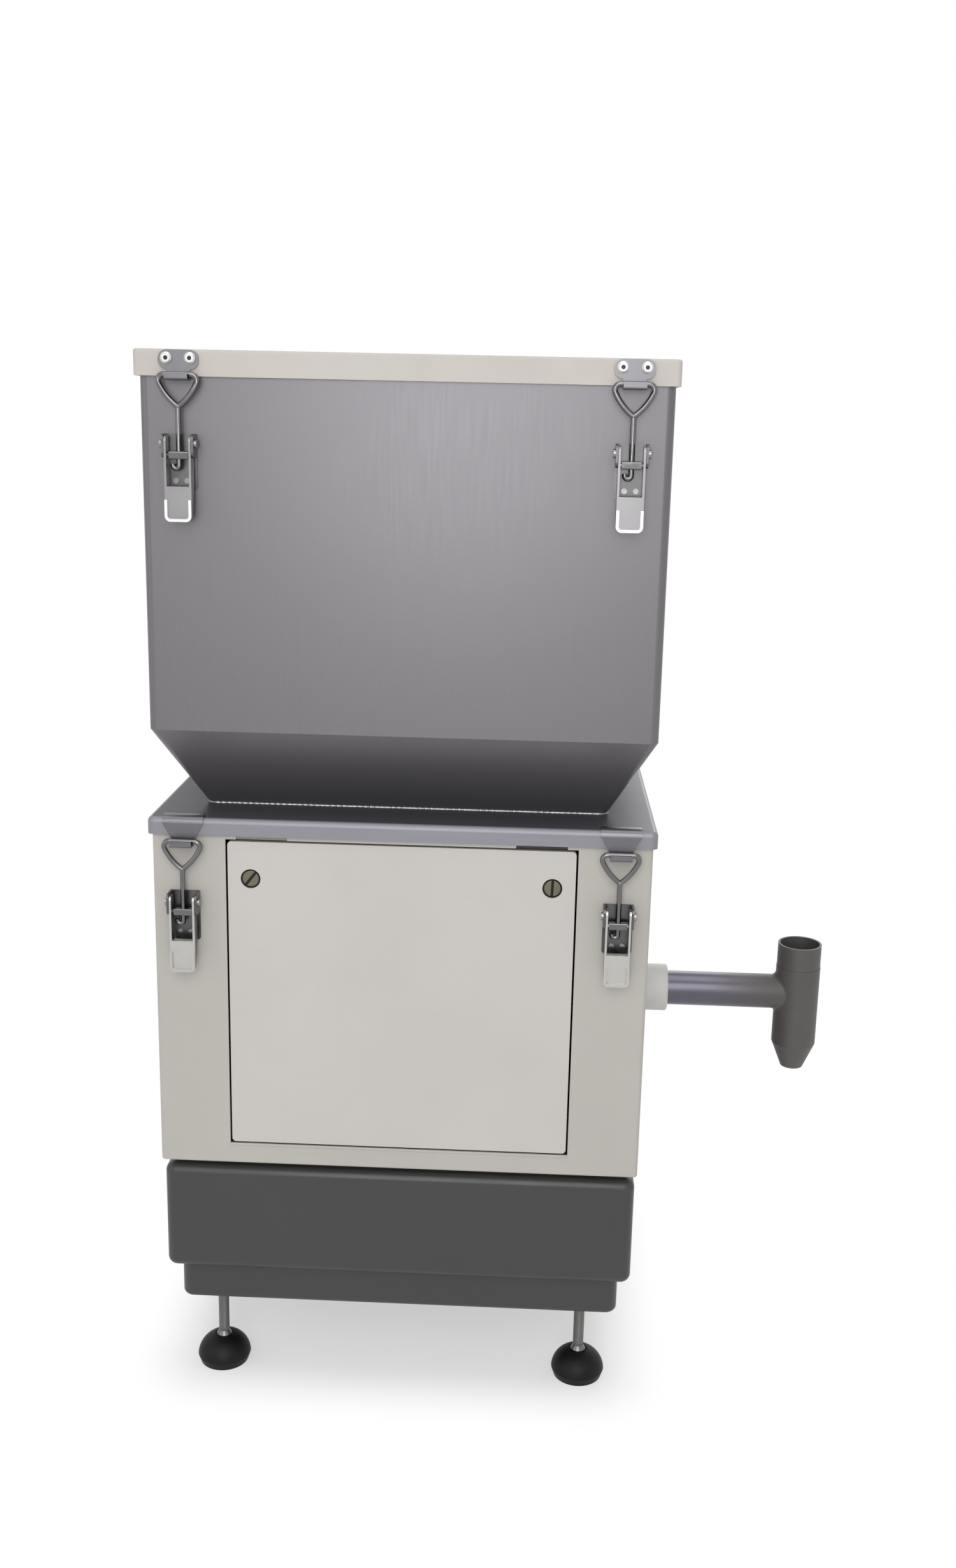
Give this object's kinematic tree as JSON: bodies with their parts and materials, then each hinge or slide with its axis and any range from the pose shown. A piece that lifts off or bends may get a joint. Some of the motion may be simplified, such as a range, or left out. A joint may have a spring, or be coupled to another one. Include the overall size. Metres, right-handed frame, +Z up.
{
  "type": "loss-in-weight powder screw feeder",
  "caption": "Bench powder feeder: latched steel hopper on a drive cabinet with a side screw outlet and tee spout, standing on a weighing base with levelling feet.",
  "frame": {"origin": "on the floor, under the middle of the whole machine including the side outlet", "axes": "+Z up, +X towards the outlet tee, -Y towards the front with the access panel"},
  "size_m": [0.5336, 0.3612, 0.807],
  "materials": {
    "cream_coat": "satin",
    "satin_steel": "satin",
    "grey_coat": "satin",
    "bright_steel": "polished",
    "black_rubber": "matte",
    "white_plastic": "matte",
    "black_plastic": "matte",
    "machined_aluminium": "machined",
    "motor_paint": "satin",
    "bronze": "machined",
    "machined_steel": "machined"
  },
  "bodies": {
    "machine": {"cabinet_latch_bases": "bright_steel", "cabinet_shell": "cream_coat", "cover_gasket": "black_rubber", "cover_keepers": "bright_steel", "cover_plate": "satin_steel", "discharge_tee": "satin_steel", "drive_motor": "motor_paint", "feed_trough": "satin_steel", "foot_nuts": "machined_steel", "gearbox": "machined_aluminium", "hopper_latch_bases": "bright_steel", "hopper_shell": "satin_steel", "isolator_frame": "black_rubber", "latch_pins": "bright_steel", "latch_rivets": "bright_steel", "lid": "cream_coat", "lid_keeper_screws": "bright_steel", "lid_keepers": "bright_steel", "lid_seal": "black_rubber", "load_cell": "machined_aluminium", "load_cell_bolts": "machined_steel", "load_cell_spacers": "machined_aluminium", "motor_bracket": "machined_steel", "outlet_collar": "white_plastic", "panel_strikes": "bright_steel", "scale_pan": "grey_coat", "scale_tray": "grey_coat", "shaft_bushes": "bronze", "signal_inlet": "black_plastic"},
    "auger": {"auger": "machined_steel", "auger_gear": "machined_steel"},
    "agitator": {"agitator": "machined_steel", "agitator_gear": "machined_steel"},
    "motor_pinion": {"motor_pinion": "machined_steel"},
    "access_panel": {"access_panel": "cream_coat", "panel_stud_seats": "bright_steel"},
    "panel_stud_left": {"panel_stud_left": "bright_steel"},
    "panel_stud_right": {"panel_stud_right": "bright_steel"},
    "foot_front_left": {"foot_front_left": "black_rubber"},
    "foot_front_right": {"foot_front_right": "black_rubber"},
    "foot_rear_left": {"foot_rear_left": "black_rubber"},
    "foot_rear_right": {"foot_rear_right": "black_rubber"},
    "lever_hopper_front_left": {"lever_hopper_front_left": "bright_steel"},
    "bail_hopper_front_left": {"bail_hopper_front_left": "bright_steel"},
    "lever_hopper_front_right": {"lever_hopper_front_right": "bright_steel"},
    "bail_hopper_front_right": {"bail_hopper_front_right": "bright_steel"},
    "lever_hopper_rear_left": {"lever_hopper_rear_left": "bright_steel"},
    "bail_hopper_rear_left": {"bail_hopper_rear_left": "bright_steel"},
    "lever_hopper_rear_right": {"lever_hopper_rear_right": "bright_steel"},
    "bail_hopper_rear_right": {"bail_hopper_rear_right": "bright_steel"},
    "lever_cabinet_front_left": {"lever_cabinet_front_left": "bright_steel"},
    "bail_cabinet_front_left": {"bail_cabinet_front_left": "bright_steel"},
    "lever_cabinet_front_right": {"lever_cabinet_front_right": "bright_steel"},
    "bail_cabinet_front_right": {"bail_cabinet_front_right": "bright_steel"},
    "lever_cabinet_rear_left": {"lever_cabinet_rear_left": "bright_steel"},
    "bail_cabinet_rear_left": {"bail_cabinet_rear_left": "bright_steel"},
    "lever_cabinet_rear_right": {"lever_cabinet_rear_right": "bright_steel"},
    "bail_cabinet_rear_right": {"bail_cabinet_rear_right": "bright_steel"}
  },
  "joints": [
    {"name": "auger_spin", "type": "hinge", "parent": "machine", "child": "auger", "pos_m": [-0.07875, 0, 0.292], "axis": [1, 0, 0], "continuous": true},
    {"name": "agitator_spin", "type": "hinge", "parent": "machine", "child": "agitator", "pos_m": [-0.07875, 0, 0.358], "axis": [1, 0, 0], "continuous": true},
    {"name": "pinion_spin", "type": "hinge", "parent": "machine", "child": "motor_pinion", "pos_m": [-0.07875, 0, 0.236], "axis": [1, 0, 0], "continuous": true},
    {"name": "panel_pull", "type": "slide", "parent": "machine", "child": "access_panel", "axis": [0, -1, 0], "range_m": [0, 0.12]},
    {"name": "panel_stud_left_turn", "type": "hinge", "parent": "access_panel", "child": "panel_stud_left", "pos_m": [-0.19075, -0.165, 0.429], "axis": [0, -1, 0], "range_deg": [0, 90]},
    {"name": "panel_stud_right_turn", "type": "hinge", "parent": "access_panel", "child": "panel_stud_right", "pos_m": [0.03325, -0.165, 0.429], "axis": [0, 1, 0], "range_deg": [0, 90]},
    {"name": "foot_front_left_screw", "type": "slide", "parent": "machine", "child": "foot_front_left", "axis": [0, 0, 1], "range_m": [-0.008, 0.01]},
    {"name": "foot_front_right_screw", "type": "slide", "parent": "machine", "child": "foot_front_right", "axis": [0, 0, 1], "range_m": [-0.008, 0.01]},
    {"name": "foot_rear_left_screw", "type": "slide", "parent": "machine", "child": "foot_rear_left", "axis": [0, 0, 1], "range_m": [-0.008, 0.01]},
    {"name": "foot_rear_right_screw", "type": "slide", "parent": "machine", "child": "foot_rear_right", "axis": [0, 0, 1], "range_m": [-0.008, 0.01]},
    {"name": "lever_hopper_front_left_hinge", "type": "hinge", "parent": "machine", "child": "lever_hopper_front_left", "pos_m": [-0.23475, -0.1745, 0.74386], "axis": [-1, 0, 0], "range_deg": [0, 90]},
    {"name": "bail_hopper_front_left_hinge", "type": "hinge", "parent": "lever_hopper_front_left", "child": "bail_hopper_front_left", "pos_m": [-0.23475, -0.173, 0.736], "axis": [-1, 0, 0], "range_deg": [-81.5, 0]},
    {"name": "lever_hopper_front_right_hinge", "type": "hinge", "parent": "machine", "child": "lever_hopper_front_right", "pos_m": [0.07725, -0.1745, 0.74386], "axis": [-1, 0, 0], "range_deg": [0, 90]},
    {"name": "bail_hopper_front_right_hinge", "type": "hinge", "parent": "lever_hopper_front_right", "child": "bail_hopper_front_right", "pos_m": [0.07725, -0.173, 0.736], "axis": [-1, 0, 0], "range_deg": [-81.5, 0]},
    {"name": "lever_hopper_rear_left_hinge", "type": "hinge", "parent": "machine", "child": "lever_hopper_rear_left", "pos_m": [-0.23475, 0.1745, 0.74386], "axis": [1, 0, 0], "range_deg": [0, 90]},
    {"name": "bail_hopper_rear_left_hinge", "type": "hinge", "parent": "lever_hopper_rear_left", "child": "bail_hopper_rear_left", "pos_m": [-0.23475, 0.173, 0.736], "axis": [1, 0, 0], "range_deg": [-81.5, 0]},
    {"name": "lever_hopper_rear_right_hinge", "type": "hinge", "parent": "machine", "child": "lever_hopper_rear_right", "pos_m": [0.07725, 0.1745, 0.74386], "axis": [1, 0, 0], "range_deg": [0, 90]},
    {"name": "bail_hopper_rear_right_hinge", "type": "hinge", "parent": "lever_hopper_rear_right", "child": "bail_hopper_rear_right", "pos_m": [0.07725, 0.173, 0.736], "axis": [1, 0, 0], "range_deg": [-81.5, 0]},
    {"name": "lever_cabinet_front_left_hinge", "type": "hinge", "parent": "machine", "child": "lever_cabinet_front_left", "pos_m": [-0.23975, -0.1745, 0.41236], "axis": [-1, 0, 0], "range_deg": [0, 90]},
    {"name": "bail_cabinet_front_left_hinge", "type": "hinge", "parent": "lever_cabinet_front_left", "child": "bail_cabinet_front_left", "pos_m": [-0.23975, -0.173, 0.4045], "axis": [-1, 0, 0], "range_deg": [-81.5, 0]},
    {"name": "lever_cabinet_front_right_hinge", "type": "hinge", "parent": "machine", "child": "lever_cabinet_front_right", "pos_m": [0.08225, -0.1745, 0.41236], "axis": [-1, 0, 0], "range_deg": [0, 90]},
    {"name": "bail_cabinet_front_right_hinge", "type": "hinge", "parent": "lever_cabinet_front_right", "child": "bail_cabinet_front_right", "pos_m": [0.08225, -0.173, 0.4045], "axis": [-1, 0, 0], "range_deg": [-81.5, 0]},
    {"name": "lever_cabinet_rear_left_hinge", "type": "hinge", "parent": "machine", "child": "lever_cabinet_rear_left", "pos_m": [-0.23975, 0.1745, 0.41236], "axis": [1, 0, 0], "range_deg": [0, 90]},
    {"name": "bail_cabinet_rear_left_hinge", "type": "hinge", "parent": "lever_cabinet_rear_left", "child": "bail_cabinet_rear_left", "pos_m": [-0.23975, 0.173, 0.4045], "axis": [1, 0, 0], "range_deg": [-81.5, 0]},
    {"name": "lever_cabinet_rear_right_hinge", "type": "hinge", "parent": "machine", "child": "lever_cabinet_rear_right", "pos_m": [0.08225, 0.1745, 0.41236], "axis": [1, 0, 0], "range_deg": [0, 90]},
    {"name": "bail_cabinet_rear_right_hinge", "type": "hinge", "parent": "lever_cabinet_rear_right", "child": "bail_cabinet_rear_right", "pos_m": [0.08225, 0.173, 0.4045], "axis": [1, 0, 0], "range_deg": [-81.5, 0]}
  ],
  "couplings": [
    {"joint": "agitator_spin", "follows": "auger_spin", "ratio": -1.2},
    {"joint": "pinion_spin", "follows": "auger_spin", "ratio": -1.8},
    {"joint": "bail_hopper_front_left_hinge", "follows": "lever_hopper_front_left_hinge", "ratio": -0.9},
    {"joint": "bail_hopper_front_right_hinge", "follows": "lever_hopper_front_right_hinge", "ratio": -0.9},
    {"joint": "bail_hopper_rear_left_hinge", "follows": "lever_hopper_rear_left_hinge", "ratio": -0.9},
    {"joint": "bail_hopper_rear_right_hinge", "follows": "lever_hopper_rear_right_hinge", "ratio": -0.9},
    {"joint": "bail_cabinet_front_left_hinge", "follows": "lever_cabinet_front_left_hinge", "ratio": -0.9},
    {"joint": "bail_cabinet_front_right_hinge", "follows": "lever_cabinet_front_right_hinge", "ratio": -0.9},
    {"joint": "bail_cabinet_rear_left_hinge", "follows": "lever_cabinet_rear_left_hinge", "ratio": -0.9},
    {"joint": "bail_cabinet_rear_right_hinge", "follows": "lever_cabinet_rear_right_hinge", "ratio": -0.9}
  ]
}
